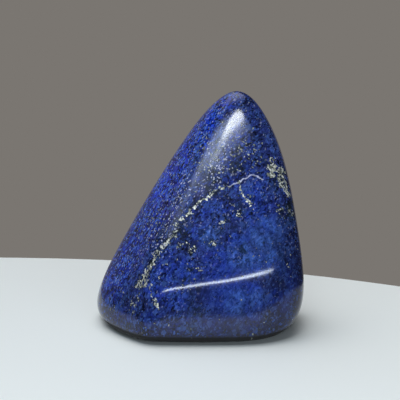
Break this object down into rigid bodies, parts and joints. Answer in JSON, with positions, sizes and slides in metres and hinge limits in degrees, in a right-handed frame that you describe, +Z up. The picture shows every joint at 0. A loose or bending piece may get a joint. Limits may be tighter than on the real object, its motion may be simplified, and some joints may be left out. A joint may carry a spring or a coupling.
{
  "type": "polished lapis lazuli stone",
  "caption": "Palm-sized freeform of polished blue lapis lazuli, a rounded leaning pyramid that stands upright on a small ground flat as a display stone or paperweight.",
  "frame": {"origin": "on the ground flat that the stone rests on, straight below the inner point that its flats are measured from", "axes": "+Z up, along the stone's height; -Y is the front, the broad flat that leans back above a sharp crease; +X is the stone's right seen from the front"},
  "size_m": [0.0549, 0.0424, 0.0624],
  "materials": {
    "lapis": "polished, glossy"
  },
  "bodies": {
    "root": {"lapis_stone": "lapis"}
  },
  "joints": []
}
